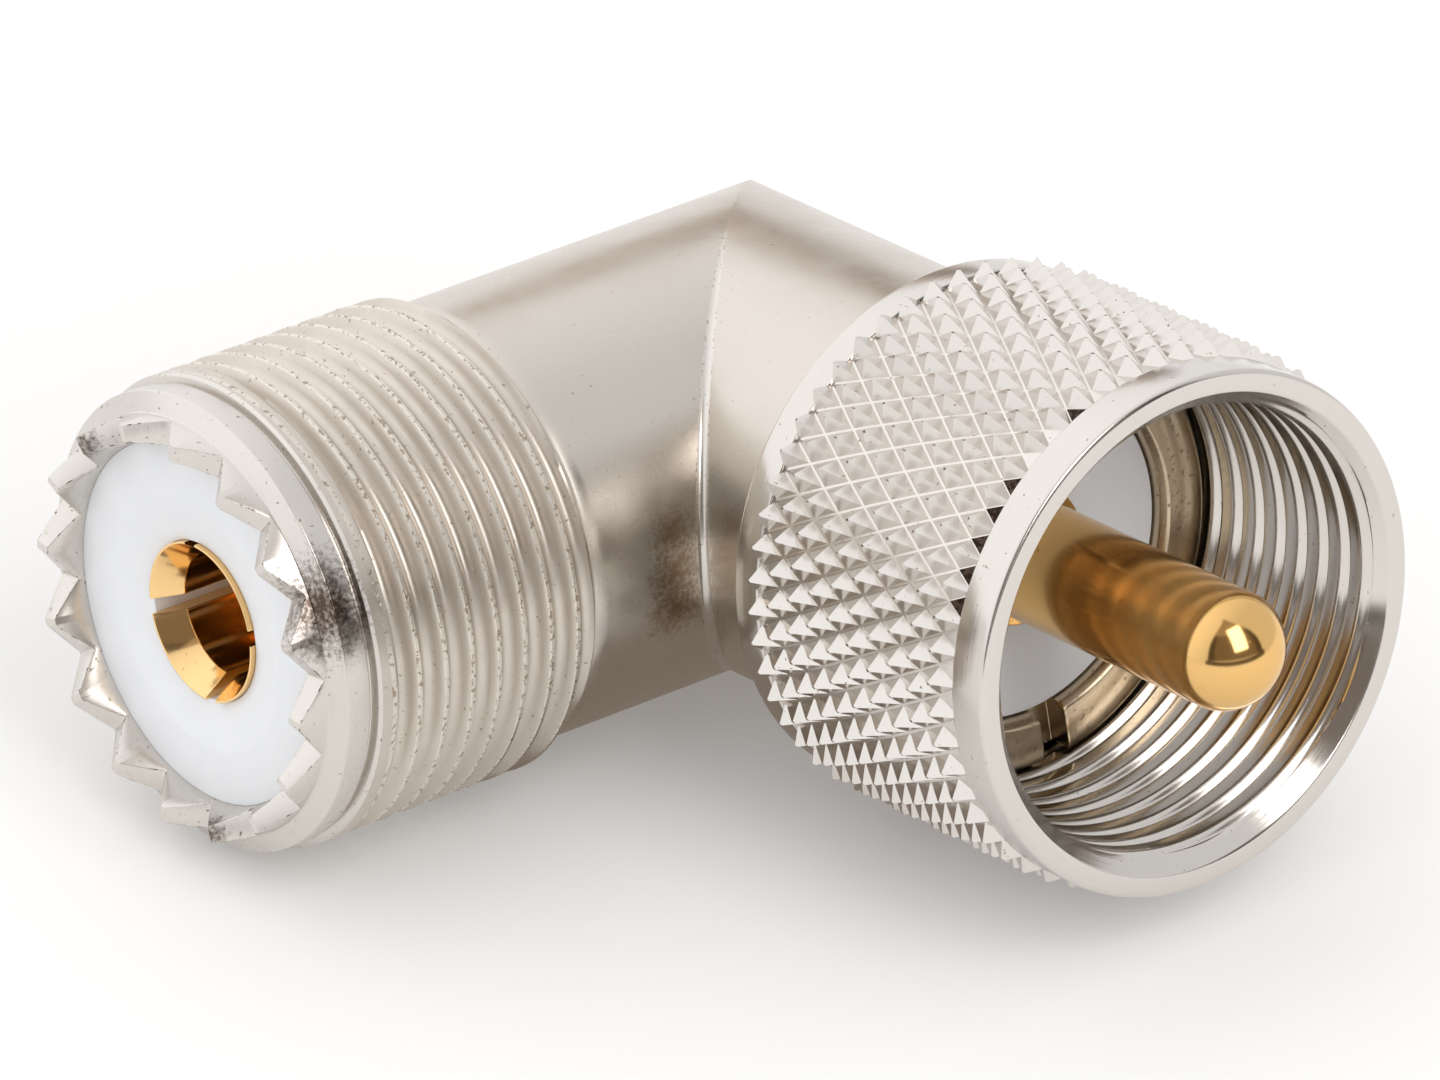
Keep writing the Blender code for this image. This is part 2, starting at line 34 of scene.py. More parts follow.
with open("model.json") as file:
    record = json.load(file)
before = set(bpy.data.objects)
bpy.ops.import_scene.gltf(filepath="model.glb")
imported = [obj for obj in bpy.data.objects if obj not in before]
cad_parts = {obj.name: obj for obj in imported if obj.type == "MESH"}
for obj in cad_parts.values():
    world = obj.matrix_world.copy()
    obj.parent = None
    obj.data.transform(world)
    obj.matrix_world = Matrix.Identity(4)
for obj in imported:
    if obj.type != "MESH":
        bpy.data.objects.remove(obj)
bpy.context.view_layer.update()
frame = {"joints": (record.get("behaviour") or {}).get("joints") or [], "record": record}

# Sizes of the elbow body, in millimetres along its arms and out from their axes. A thread's form runs from
# its crest to the middle of the next groove, as shares of the pitch and of the depth.
ARM_RADIUS = 7.40
ARM_BORE = 4.60
CREASE_FILLET = 0.26
CREASE_EDGE = 0.05
SMOOTH_RUN = 0.50
CREASE_STEPS = 5
CREASE_SIDE = 0.12
PEAK_EASE = 0.05
PLUG_ARM_END = 10.00
SHELL_SEAT = 6.20
SHELL_SEAT_BACK = 6.15
THREAD_PITCH = 25.4 / 24
THREAD_RADIUS = 7.94
THREAD_DEPTH = 0.52
THREAD_BACK = 11.90
THREAD_FULL = 12.35
THREAD_FRONT = 20.90
THREAD_START = 20.25
THREAD_FADE = 0.35
TORN_CREST = (-0.06, 0.09)
THREAD_FORM = ((0.05, 0.0), (0.08, 0.07), (0.13, 0.24), (0.21, 0.54), (0.29, 0.80), (0.39, 0.95), (0.50, 1.0))
LAND_BACK = 21.10
LAND_RADIUS = 7.72
BEVEL_BACK = 22.00
RIM_FRONT = 23.40
RIM_OUTER = 6.97
RIM_INNER = 6.40
SHOULDER_FRONT = 22.34
SHOULDER_RADIUS = 7.03
SOCKET_SEAT = 6.09
TEETH = 16
TOOTH_DEPTH = 0.98
TOOTH_EDGE = 0.028
TOOTH_TIP_END = math.radians(1.0)
TOOTH_FLANK_END = math.radians(11.0)
TOOTH_COLUMNS = (0.0, 0.7, 1.0, 1.35, 2.2, 3.3, 4.5, 5.7, 6.9, 8.1, 9.3, 10.2, 10.8, 11.1)
FIRST_TIP = math.radians(14.6)
SOCKET_SEAT_BACK = 13.04

# Sizes of the socket's bush and contact.
SOCKET_BUSH_RADIUS = 6.088
SOCKET_BUSH_FRONT = 22.19
SOCKET_BUSH_BACK = 13.09
SOCKET_DISH_RADIUS = 4.30
SOCKET_DISH_FRONT = 21.90
CONTACT_FRONT = 22.09
CONTACT_BACK = 15.50
CONTACT_RADIUS = 2.70
CONTACT_MOUTH = 2.63
CONTACT_MOUTH_DEPTH = 0.95
CONTACT_BORE = 2.05
CONTACT_BORE_DEPTH = 5.50
SLOT_WIDTH = 0.52
SLOT_DEPTH = 4.30
SLOT_ANGLE = math.radians(6.3)
CUT_CORNER = math.radians(38)
SHANK_RADIUS = 1.50
STUD_RADIUS = 1.05
STUD_END = -1.20

# Sizes of the plug's shell, bush and pin.
SHELL_RADIUS = 6.15
SHELL_NECK = 6.60
SHELL_NECK_BACK = 10.05
SHELL_RIM = 7.30
SHELL_RIM_BACK = 13.45
SHELL_FRONT = 14.78
SHELL_MOUTH = 5.87
SHELL_BORE = 5.65
SHELL_STEP = 5.00
PLUG_BUSH_BACK = 7.00
PLUG_BUSH_FRONT = 14.24
PLUG_BUSH_RADIUS = 5.60
NOTCH_WIDTH = 1.00
NOTCH_DEPTH = 0.90
NOTCH_ANGLE = math.radians(-83.5)
PIN_RADIUS = 1.98
PIN_BACK = -2.60
PIN_FRONT = 26.40
PIN_DOME = 1.60
PIN_DOME_STEPS = 24
PIN_COLLAR = 2.34
PIN_COLLAR_BACK = 14.29
PIN_COLLAR_FRONT = 14.64
FIT_GAP = 0.05
HUG_GAP = 0.01

# Sizes of the coupling nut.
NUT_BACK = 10.17
NUT_FRONT = 23.10
NUT_RADIUS = 8.77
NUT_CHAMFER = 0.55
NUT_EDGE = 0.14
KNURL_BACK = 11.82
KNURL_HALF_PITCH = 1.005
KNURL_ROWS = 10
KNURL_FRONT = KNURL_BACK + KNURL_ROWS * KNURL_HALF_PITCH
RING_BACK = 21.62
KNURLS = 52
KNURL_CREST = 9.13
KNURL_VALLEY = 8.63
KNURL_GROOVE = 0.040
KNURL_FLAT = 0.09
NUT_CORE = 8.50
KNURL_CORE = 8.35
# Angles round the nut where the knurl's last gaps are painted near black, as painted shade.
PAINTED_SHADE_ENDS = ((math.radians(109), math.radians(115)), (math.radians(128), math.radians(160)))
FLANGE_BORE = 6.69
FLANGE_FRONT = 12.02
RELIEF_RADIUS = 8.05
NUT_THREAD_BACK = 13.60
NUT_THREAD_FRONT = 22.50
NUT_CREST = 7.50
NUT_THREAD_DEPTH = 0.27
NUT_THREAD_RELIEF = 0.25
NUT_THREAD_FORM = (
    (0.10, 0.0), (0.20, 0.02), (0.27, 0.07), (0.33, 0.24), (0.39, 0.56), (0.45, 0.87), (0.50, 1.0))
NUT_MOUTH = 8.06

# Sizes of the marks in the metal and the plastic, in millimetres. The lathe's rings and the milling cutter's
# strokes are really finer than a pixel, and are drawn as coarse as they need to be to show.
POLISH_CLOUD = 5 / 3
LATHE_RING = 1 / 7
MILLED_STROKE = 0.20
MILLED_RADIUS = 7.00
PATCH_FLECK = 1 / 6
PTFE_CLOUD = 1.25
PTFE_RING = 0.20

# The studio. Places are degrees round from the plug arm, degrees up and metres out, and 1 is white. The
# camera's place is in millimetres from the elbow.
CAMERA_LENS = 395.96
CAMERA_PLACE = (375.834, -286.670, 209.594)
CAMERA_RIGHT = (0.62170, 0.78172, -0.04890)
CAMERA_DOWN = (0.29511, -0.29162, -0.90987)
FLOOR_HALF = 1.6
FLOOR_LIFT = 0.18
TENT_BRIGHTEST = (-150, 30)
TENT_DIM = 0.85
TENT_BRIGHT = 1.32
TABLE_GLOW = 0.12
SHADE_GLOW = 0.26
BACK_GLOW = 0.60
SEAM_GLOW = 0.30
OPENING_FOOT = (-63, 35)
OPENING_TOP = (-20, 74)
OPENING_DISTANCE = 0.45
OPENING_COLUMNS = 9
OPENING_STEPS = 12
OPENING_SPLIT = 7
OPENING_EDGE_GLOW = 0.10
OPENING_GLOW = 0.22
OPENING_TOP_GLOW = 0.42


def arm_frames():
    """Frames of the elbow, the socket arm and the plug arm, from the nut's joint and the socket's mount."""
    spin = frame["joints"][0]
    face = next(m for m in frame["record"]["mounts"] if m["name"] == "socket_face")
    ahead = Vector(spin["axis"]).normalized()
    up = Vector(face["axis"]).cross(ahead).normalized()
    left = up.cross(ahead)
    origin = Vector(spin["pos_m"]) - NUT_BACK * MM * ahead
    elbow = Matrix((ahead, left, up)).transposed().to_4x4()
    elbow.translation = origin
    socket = elbow @ Matrix(((1, 0, 0), (0, 0, -1), (0, 1, 0))).to_4x4()
    plug = elbow @ Matrix(((0, 0, 1), (1, 0, 0), (0, 1, 0))).to_4x4()
    return elbow, socket, plug


ELBOW_FRAME, SOCKET_FRAME, PLUG_FRAME = arm_frames()


# Colours and materials.


def from_hex(code):
    """Linear RGBA of an sRGB hex colour."""
    channels = [int(code[i:i + 2], 16) / 255 for i in (1, 3, 5)]
    linear = [c / 12.92 if c <= 0.04045 else ((c + 0.055) / 1.055) ** 2.4 for c in channels]
    return (*linear, 1.0)


def add_node(tree, kind, inputs=None, **settings):
    """Add a node with its settings; an input is either a value or the output that feeds it."""
    made = tree.nodes.new(kind)
    for name, value in settings.items():
        setattr(made, name, value)
    for socket, value in (inputs or {}).items():
        if isinstance(value, bpy.types.NodeSocket):
            tree.links.new(value, made.inputs[socket])
        else:
            made.inputs[socket].default_value = value
    return made


def new_material(name):
    """A material with only its output node."""
    made = bpy.data.materials.new(name)
    made.use_nodes = True
    made.node_tree.nodes.clear()
    return made, made.node_tree


def millimetres(tree, matrix):
    """Position on the piece in millimetres, along and across the axis that the piece is turned on."""
    place = add_node(tree, "ShaderNodeTexCoord").outputs["Object"]
    back = matrix.inverted()
    settings = {
        "Vector": place,
        "Location": back.translation / MM,
        "Rotation": back.to_euler(),
        "Scale": (1 / MM, 1 / MM, 1 / MM),
    }
    return add_node(tree, "ShaderNodeMapping", settings).outputs[0]


def turned_place(tree, place):
    """Distances from and along the axis, for rings round a turned piece, and the direction out from it."""
    split = add_node(tree, "ShaderNodeSeparateXYZ", {0: place})
    flat = add_node(tree, "ShaderNodeCombineXYZ", {0: split.outputs[0], 1: split.outputs[1]}).outputs[0]
    radius = add_node(tree, "ShaderNodeVectorMath", {0: flat}, operation="LENGTH").outputs["Value"]
    around = add_node(tree, "ShaderNodeVectorMath", {0: flat}, operation="NORMALIZE").outputs[0]
    along = add_node(tree, "ShaderNodeCombineXYZ", {0: radius, 1: split.outputs[2]}).outputs[0]
    return along, around


def plated(name, matrix, clean, tarnish, roughness, pit_size, pits, depth, marks=0.0, milled=0.0, painted_patches=()):
    """Plated metal: soft clouds in its polish, pits of a size in mm and a share, and marks of the tool.

    Marks are the lathe's rings and milled the cutter's strokes across a tooth, by their depth in mm. A painted
    patch is a ragged dark patch that paints shade and dark reflections in: its centre and reach in mm, and its
    colour."""
    made, tree = new_material(name)
    place = millimetres(tree, matrix)
    along, around = turned_place(tree, place)
    cloud = add_node(
        tree,
        "ShaderNodeTexNoise",
        {"Vector": place, "Scale": 1 / POLISH_CLOUD, "Detail": 3.0},
    ).outputs["Fac"]
    # A pit is about half as wide as a cell of this noise.
    speck = add_node(
        tree,
        "ShaderNodeTexNoise",
        {"Vector": place, "Scale": 0.55 / pit_size, "Detail": 2.5, "Roughness": 0.6},
    ).outputs["Fac"]
    pit_level = 0.72 - 0.42 * pits
    pit = add_node(
        tree,
        "ShaderNodeMapRange",
        {"Value": speck, "From Min": pit_level, "From Max": pit_level + 0.06},
    ).outputs["Result"]
    tint = add_node(
        tree,
        "ShaderNodeMix",
        {"Factor": pit, 6: from_hex(clean), 7: from_hex(tarnish)},
        data_type="RGBA",
    ).outputs[2]
    if painted_patches:
        fleck = add_node(
            tree,
            "ShaderNodeTexNoise",
            {"Vector": place, "Scale": 1 / PATCH_FLECK, "Detail": 4.0, "Roughness": 0.7},
        ).outputs["Fac"]
    # The flecks push each patch's edge in and out, which leaves it ragged.
    for centre, reach, shade in painted_patches:
        away = add_node(tree, "ShaderNodeVectorMath", {0: place, 1: centre}, operation="DISTANCE")
        ragged = add_node(
            tree,
            "ShaderNodeMath",
            {0: fleck, 1: 3.0 * reach, 2: away.outputs["Value"]},
            operation="MULTIPLY_ADD",
        )
        patch = add_node(
            tree,
            "ShaderNodeMapRange",
            {
                "Value": ragged.outputs[0],
                "From Min": 1.7 * reach,
                "From Max": 2.8 * reach,
                "To Min": 1.0,
                "To Max": 0.0,
            },
        ).outputs["Result"]
        tint = add_node(
            tree,
            "ShaderNodeMix",
            {"Factor": patch, 6: tint, 7: from_hex(shade)},
            data_type="RGBA",
        ).outputs[2]
    polish = add_node(
        tree,
        "ShaderNodeMapRange",
        {
            "Value": cloud,
            "From Min": 0.3,
            "From Max": 0.7,
            "To Min": roughness * 0.8,
            "To Max": roughness * 1.2,
        },
    ).outputs["Result"]
    ring = add_node(
        tree,
        "ShaderNodeTexNoise",
        {"Vector": along, "Scale": 1 / LATHE_RING, "Detail": 2.0},
    ).outputs["Fac"]
    lathe = add_node(tree, "ShaderNodeMath", {0: ring, 1: marks}, operation="MULTIPLY").outputs[0]
    sunk = add_node(tree, "ShaderNodeMath", {0: pit, 1: -depth, 2: lathe}, operation="MULTIPLY_ADD")
    if milled:
        spread = add_node(
            tree,
            "ShaderNodeVectorMath",
            {0: around, 1: (MILLED_RADIUS, MILLED_RADIUS, 0.0)},
            operation="MULTIPLY",
        ).outputs[0]
        stroke = add_node(
            tree,
            "ShaderNodeTexNoise",
            {"Vector": spread, "Scale": 1 / MILLED_STROKE, "Detail": 2.0},
        ).outputs["Fac"]
        sunk = add_node(
            tree,
            "ShaderNodeMath",
            {0: stroke, 1: milled, 2: sunk.outputs[0]},
            operation="MULTIPLY_ADD",
        )
    bump = add_node(
        tree,
        "ShaderNodeBump",
        {"Height": sunk.outputs[0], "Strength": 1.0, "Distance": MM},
    ).outputs["Normal"]
    shader = add_node(
        tree,
        "ShaderNodeBsdfPrincipled",
        {"Base Color": tint, "Metallic": 1.0, "Roughness": polish, "Normal": bump},
    )
    add_node(tree, "ShaderNodeOutputMaterial", {"Surface": shader.outputs[0]})
    return made


def bush_plastic(name, matrix):
    """White PTFE, turned: a dull waxy white with faint rings, which lets a little light in under its skin."""
    made, tree = new_material(name)
    place = millimetres(tree, matrix)
    along = turned_place(tree, place)[0]
    cloud = add_node(
        tree,
        "ShaderNodeTexNoise",
        {"Vector": place, "Scale": 1 / PTFE_CLOUD, "Detail": 3.0},
    ).outputs["Fac"]
    rings = add_node(
        tree,
        "ShaderNodeTexNoise",
        {"Vector": along, "Scale": 1 / PTFE_RING, "Detail": 2.0},
    ).outputs["Fac"]
    tint = add_node(
        tree,
        "ShaderNodeMix",
        {"Factor": cloud, 6: from_hex("#F0F1F3"), 7: from_hex("#EAECEF")},
        data_type="RGBA",
    ).outputs[2]
    bump = add_node(
        tree,
        "ShaderNodeBump",
        {"Height": rings, "Strength": 1.0, "Distance": 0.004 * MM},
    ).outputs["Normal"]
    shader = add_node(
        tree,
        "ShaderNodeBsdfPrincipled",
        {
            "Base Color": tint,
            "Roughness": 0.48,
            "IOR": 1.38,
            "Normal": bump,
            "Subsurface Weight": 0.2,
            "Subsurface Radius": (1.0, 0.9, 0.85),
            "Subsurface Scale": 0.4 * MM,
        },
    )
    add_node(tree, "ShaderNodeOutputMaterial", {"Surface": shader.outputs[0]})
    return made


# Painted dark patches in the nickel, each by its centre and reach in mm and its colour.
# On the socket's rim: a painted dark reflection on the bevel, and two small dark spots on the teeth's tops.
RIM_PAINTED_PATCHES = (
    ((6.85, 2.75, 22.15), 1.45, "#5E4F45"),
    ((-4.00, 5.30, 23.20), 0.50, "#5E4F45"),
    ((1.60, -6.45, 23.20), 0.50, "#5E4F45"),
)
# In the elbow's crease: painted shade, brown patches that darken the satin nickel where the arms meet.
CREASE_PAINTED_SHADE = (
    ((7.35, 1.10, 8.50), 0.85, "#A9967F"),
    ((7.40, -0.20, 8.60), 0.95, "#A08C75"),
    ((7.20, -1.50, 8.55), 0.95, "#A08C75"),
)

# Nickel over brass, blasted before it was plated: a satin skin on both tubes, whose bright bands end softly.
# Shade is painted into its crease as brown patches.
SATIN_NICKEL = plated(
    "blasted_nickel_tube", SOCKET_FRAME, "#D2CBC2", "#A39484", 0.28,
    pit_size=0.10, pits=0.04, depth=0.005, painted_patches=CREASE_PAINTED_SHADE)

# Nickel over turned brass: the rim and land shine more than the tubes, and have rings and painted dark
# patches.
TURNED_NICKEL = plated(
    "turned_nickel_rim", SOCKET_FRAME, "#D7D2CC", "#A39382", 0.25,
    pit_size=0.12, pits=0.12, depth=0.004, marks=0.0016, painted_patches=RIM_PAINTED_PATCHES)

# Nickel over a cut thread: duller in the grooves, where no polish reaches.
THREAD_NICKEL = plated(
    "cut_nickel_thread", SOCKET_FRAME, "#D2CAC0", "#A39382", 0.37,
    pit_size=0.12, pits=0.12, depth=0.004, marks=0.0016)

# Nickel over the thread's torn crests: many small pits break up their line of light.
CREST_NICKEL = plated(
    "pitted_nickel_crest", SOCKET_FRAME, "#DFD8CE", "#AD9C88", 0.30, pit_size=0.09, pits=0.40, depth=0.009)

# Nickel over milled teeth: flat bright faces, streaked along the cutter's path, under the rim's painted dark
# patches.
TOOTH_NICKEL = plated(
    "milled_nickel_tooth", SOCKET_FRAME, "#D8D3CD", "#8C7A69", 0.30,
    pit_size=0.10, pits=0.12, depth=0.004, milled=0.008, painted_patches=RIM_PAINTED_PATCHES)

# Nickel chipped along the teeth's edges: brown specks where the plating is thin, and the rim's painted dark
# patches.
EDGE_NICKEL = plated(
    "chipped_nickel_edge", SOCKET_FRAME, "#D8D3CD", "#6B5746", 0.34,
    pit_size=0.10, pits=0.40, depth=0.010, painted_patches=RIM_PAINTED_PATCHES)

# Nickel over the nut's turned rings and thread: the smoothest nickel here, with faint rings in a clear sheen.
NUT_NICKEL = plated(
    "turned_nickel_nut", PLUG_FRAME, "#D6D1CB", "#A39382", 0.17,
    pit_size=0.10, pits=0.06, depth=0.003, marks=0.0030)

# Nickel over a rolled knurl: small bright facets that change from white to dark at each break.
KNURL_NICKEL = plated(
    "rolled_nickel_knurl", PLUG_FRAME, "#DCD7D1", "#8E7B6B", 0.20, pit_size=0.10, pits=0.08, depth=0.004)

# Nickel rubbed thin on the knurl's tips: warm dull dots with many pits.
TIP_NICKEL = plated(
    "worn_nickel_knurl_tip", PLUG_FRAME, "#CAC1B7", "#6B5849", 0.30, pit_size=0.08, pits=0.55, depth=0.010)

# Painted shade in the gaps where the rolled knurl runs out behind the ring: nickel coloured almost black, with
# pits.
KNURL_GAP_PAINTED_SHADE = plated(
    "painted_shade_knurl_end", PLUG_FRAME, "#4E4036", "#2C211A", 0.40, pit_size=0.10, pits=0.60, depth=0.015)

# Nickel over the turned shell, coloured a darker tan than the other nickel: a rim with rings and more pits
# than the outside.
SHELL_NICKEL = plated(
    "turned_nickel_shell", PLUG_FRAME, "#C8B89F", "#8E7C68", 0.24,
    pit_size=0.10, pits=0.20, depth=0.006, marks=0.0020)

# Gold plated over the turned pin: a warm, nearly clean mirror.
PIN_GOLD = plated(
    "turned_gold_pin", PLUG_FRAME, "#E9BD7A", "#C98F45", 0.13,
    pit_size=0.14, pits=0.05, depth=0.002, marks=0.0006)

# Gold plated over the sprung contact: paler than the pin, with rings in its mouth and bore.
CONTACT_GOLD = plated(
    "turned_gold_contact", SOCKET_FRAME, "#F6CF92", "#B97A2C", 0.13,
    pit_size=0.10, pits=0.06, depth=0.002, marks=0.0020)

# White PTFE bushes, turned from rod: waxy and dull, with their shadows softened by light inside.
SOCKET_PTFE = bush_plastic("turned_white_ptfe_socket", SOCKET_FRAME)
PLUG_PTFE = bush_plastic("turned_white_ptfe_plug", PLUG_FRAME)


# Mesh making.


def mesh_from(name, bm):
    """A mesh of what was built, with the builder freed."""
    mesh = bpy.data.meshes.new(name)
    bm.to_mesh(mesh)
    bm.free()
    return mesh


def add_object(name, content):
    """An object in the scene that shows a mesh, a lamp or a camera."""
    obj = bpy.data.objects.new(name, content)
    bpy.context.scene.collection.objects.link(obj)
    return obj


def eased(outline, ease=0.05, steps=3):
    """Round each corner of an open outline of (along, radius) points."""
    points = [outline[0]]
    for before, corner, after in zip(outline, outline[1:], outline[2:]):
        back = Vector(before) - Vector(corner)
        ahead = Vector(after) - Vector(corner)
        reach = min(ease, back.length * 0.4, ahead.length * 0.4)
        start = Vector(corner) + back.normalized() * reach
        end = Vector(corner) + ahead.normalized() * reach
        for step in range(steps + 1):
            t = step / steps
            point = start * (1 - t) ** 2 + Vector(corner) * 2 * t * (1 - t) + end * t ** 2
            points.append(tuple(point))
    points.append(outline[-1])
    return points


def swept(profile, angles, place, closed):
    """Vertices and quads of a skin that carries a profile of rows round an axis through all the angles."""
    vertices = []
    for angle in angles:
        vertices += [place(along, radius, angle) for along, radius in profile(angle)]
    return vertices, joined_columns(len(angles), len(vertices) // len(angles), closed)


def joined_columns(columns, rows, closed):
    """Quads between neighbouring columns of vertices; a closed column joins its last row to its first."""
    quads = []
    for here in range(0, (columns - 1) * rows, rows):
        there = here + rows
        for row in range(rows if closed else rows - 1):
            upper = (row + 1) % rows
            quads.append((here + row, there + row, there + upper, here + upper))
    return quads


def about_z(along, radius, angle):
    """Place of a turned point about local Z."""
    return (radius * math.cos(angle), radius * math.sin(angle), along)


def even_angles(count):
    """Angles all the way round, with the first repeated at the end."""
    return [TURN * i / count for i in range(count + 1)]


def add_piece(name, vertices, faces, numbers, matrix, materials, body, slot, nodes, sharp=35.0):
    """Build one closed mesh from millimetres, place it, hang it under its body, and hide the solids that it
    stands for.

    The numbers give each face its material; without them every face has the first."""
    bm = bmesh.new()
    made = [bm.verts.new(matrix @ (Vector(v) * MM)) for v in vertices]
    for place, corners in enumerate(faces):
        face = bm.faces.new([made[i] for i in corners])
        face.material_index = numbers[place] if numbers else 0
    bmesh.ops.remove_doubles(bm, verts=bm.verts, dist=0.0005 * MM)
    bmesh.ops.dissolve_degenerate(bm, edges=bm.edges, dist=0.0001 * MM)
    bmesh.ops.recalc_face_normals(bm, faces=bm.faces)
    mesh = mesh_from(name, bm)
    for entry in materials:
        mesh.materials.append(entry)
    mesh.shade_smooth()
    mesh.set_sharp_from_angle(angle=math.radians(sharp))
    obj = add_object(name, mesh)
    weigh = obj.modifiers.new("weighted_normals", "WEIGHTED_NORMAL")
    weigh.keep_sharp = True
    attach(obj, body)
    if nodes:
        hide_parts(*nodes)
    return obj


def turned(outline, count=192, hollow=True):
    """A turned piece from an outline: a hollow one closes on itself, a solid one runs from axis to axis."""
    return swept(lambda angle: outline, even_angles(count), about_z, hollow)


def box_cutter(size, centre, angle, matrix):
    """A box that cuts a slot, turned about local Z; the cut removes it again."""
    bm = bmesh.new()
    place = Matrix.Rotation(angle, 4, "Z") @ Matrix.Translation(Vector(centre) * MM)
    bmesh.ops.create_cube(bm, size=1.0, matrix=place @ Matrix.Diagonal((*(Vector(size) * MM), 1.0)))
    obj = add_object("slot_cutter", mesh_from("slot_cutter", bm))
    obj.matrix_world = matrix
    return obj


def cut(piece, cutters, ease):
    """Cut a piece, break its new edges, and leave the result as its own mesh."""
    for number, tool in enumerate(cutters):
        modifier = piece.modifiers.new(f"cut_{number}", "BOOLEAN")
        modifier.operation = "DIFFERENCE"
        modifier.object = tool
    bevel = piece.modifiers.new("broken_edges", "BEVEL")
    bevel.width = ease * MM
    bevel.segments = 2
    bevel.limit_method = "ANGLE"
    bevel.angle_limit = CUT_CORNER
    piece.modifiers.move(0, len(piece.modifiers) - 1)
    bpy.context.view_layer.update()
    depsgraph = bpy.context.evaluated_depsgraph_get()
    mesh = bpy.data.meshes.new_from_object(piece.evaluated_get(depsgraph))
    piece.modifiers.clear()
    piece.data = mesh
    for tool in cutters:
        bpy.data.objects.remove(tool)


# The elbow body: both arms, the thread and the toothed rim in one mesh.


def tooth_angles():
    """Angles round the socket that put columns on each tooth's tip, its edges and the notch between."""
    offsets = [-degrees for degrees in reversed(TOOTH_COLUMNS[1:])] + list(TOOTH_COLUMNS)
    angles = []
    for tooth in range(TEETH):
        centre = FIRST_TIP + TURN * tooth / TEETH
        angles.append(centre - TURN / TEETH / 2)
        angles += [centre + math.radians(degrees) for degrees in offsets]
    return angles + [angles[0] + TURN]


def tooth_top(angle):
    """How far along the socket the rim reaches at an angle: flat tips, straight flanks and V notches."""
    pitch = TURN / TEETH
    away = abs((angle - FIRST_TIP + pitch / 2) % pitch - pitch / 2)
    share = min(max((away - TOOTH_TIP_END) / (TOOTH_FLANK_END - TOOTH_TIP_END), 0.0), 1.0)
    return RIM_FRONT - TOOTH_DEPTH * share


def rim_rows(angle):
    """Rows from the socket's seat up over the rim and down its outside, each with the finish after it."""
    top = tooth_top(angle)
    low = top - TOOTH_EDGE

    def outer(along):
        share = (along - SHOULDER_FRONT) / (RIM_FRONT - SHOULDER_FRONT)
        return SHOULDER_RADIUS + (RIM_OUTER - SHOULDER_RADIUS) * share

    def inner(along):
        share = (along - SOCKET_BUSH_FRONT) / (RIM_FRONT - SOCKET_BUSH_FRONT)
        return SOCKET_SEAT + (RIM_INNER - SOCKET_SEAT) * share

    return [
        (SOCKET_BUSH_FRONT - 0.1, SOCKET_SEAT, "turned"),
        (SOCKET_BUSH_FRONT, SOCKET_SEAT, "turned"),
        (low, inner(low), "edge"),
        (top - 0.3 * TOOTH_EDGE, inner(top) + 0.3 * TOOTH_EDGE, "edge"),
        (top, inner(top) + TOOTH_EDGE, "tooth"),
        (top, outer(top) - TOOTH_EDGE, "edge"),
        (top - 0.3 * TOOTH_EDGE, outer(top) - 0.3 * TOOTH_EDGE, "edge"),
        (low, outer(low), "turned"),
    ]


def thread_turn(form):
    """One turn of a thread from the groove ahead of its crest to the groove behind."""
    return list(reversed(form)) + [(-share, deep) for share, deep in form[:-1]]


def barrel_rows(angle):
    """Rows from the bevel back over the land, the groove and every turn of the thread to the plain arm."""
    rows = [(along, radius, "turned") for along, radius in eased([
        (SHOULDER_FRONT + 0.02, SHOULDER_RADIUS),
        (SHOULDER_FRONT - 0.06, SHOULDER_RADIUS + 0.03),
        (BEVEL_BACK, LAND_RADIUS),
        (LAND_BACK + 0.06, LAND_RADIUS),
        (LAND_BACK, LAND_RADIUS - 0.20),
        (THREAD_FRONT + 0.06, LAND_RADIUS - 0.20),
        (THREAD_FRONT, LAND_RADIUS + 0.12),
        (THREAD_FRONT - 0.08, THREAD_RADIUS - 0.02),
    ], 0.04)[:-1]]
    turns = math.ceil((THREAD_FRONT - THREAD_BACK) / THREAD_PITCH) + 2
    for turn in range(turns):
        for share, deep in thread_turn(THREAD_FORM):
            along = THREAD_BACK + THREAD_PITCH * (turns - 2 - turn + share + angle / TURN)
            clipped = min(max(along, THREAD_BACK), THREAD_FRONT - 0.08)
            fade = min(max((THREAD_START - clipped) / THREAD_FADE, 0.0), 1.0)
            radius = THREAD_RADIUS - THREAD_DEPTH * deep * fade * fade * (3 - 2 * fade)
            lead = (clipped - THREAD_BACK) / (THREAD_FULL - THREAD_BACK)
            ramp = ARM_RADIUS - 0.01 + (THREAD_RADIUS - ARM_RADIUS + 0.03) * lead
            finish = "crest" if TORN_CREST[0] < share <= TORN_CREST[1] else "thread"
            rows.append((clipped, min(radius, max(ramp, ARM_RADIUS - 0.01), THREAD_RADIUS), finish))
    return rows


ELBOW_FINISHES = {"tube": 0, "turned": 1, "crest": 2, "tooth": 3, "edge": 4, "thread": 5}


